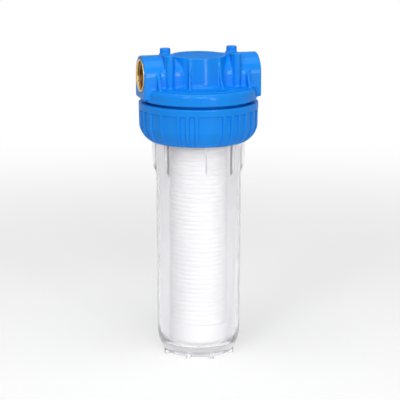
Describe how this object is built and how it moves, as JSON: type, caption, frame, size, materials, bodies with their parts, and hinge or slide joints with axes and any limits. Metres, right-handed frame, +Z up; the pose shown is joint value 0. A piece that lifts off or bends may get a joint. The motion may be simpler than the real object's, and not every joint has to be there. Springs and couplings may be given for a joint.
{
  "type": "water filter",
  "caption": "Cartridge water filter: clear bowl with a white depth cartridge, ribbed blue ring nut and blue head with a brass-lined port on each side.",
  "frame": {"origin": "on the floor, on the axis of the bowl", "axes": "+Z up along the bowl, +X from the inlet port to the outlet port, -Y towards the front"},
  "size_m": [0.128, 0.1274, 0.3325],
  "materials": {
    "blue_plastic": "moulded, satin gloss",
    "clear_bowl": "clear, polished mould",
    "filter_media": "melt-blown fibre",
    "cartridge_core": "moulded",
    "gasket_foam": "closed-cell foam",
    "seal_rubber": "matt",
    "brass": "turned"
  },
  "bodies": {
    "bowl": {"bowl": "clear_bowl", "bowl_seal": "seal_rubber", "cartridge_media": "filter_media", "cartridge_core": "cartridge_core", "cartridge_bottom_gasket": "gasket_foam", "cartridge_top_gasket": "gasket_foam"},
    "ring_nut": {"ring_nut": "blue_plastic"},
    "head": {"head": "blue_plastic", "inlet_insert": "brass", "inlet_insert_seal": "seal_rubber", "outlet_insert": "brass", "outlet_insert_seal": "seal_rubber"}
  },
  "joints": [
    {"name": "nut_turn", "type": "hinge", "parent": "bowl", "child": "ring_nut", "pos_m": [0, 0, 0.25], "axis": [0, 0, -1], "range_deg": [0, 1080]},
    {"name": "head_lift", "type": "slide", "parent": "bowl", "child": "head", "axis": [0, 0, 1], "range_m": [0, 0.0181]}
  ],
  "couplings": [
    {"joint": "head_lift", "follows": "nut_turn", "m_per_rad": 0.00095493}
  ]
}
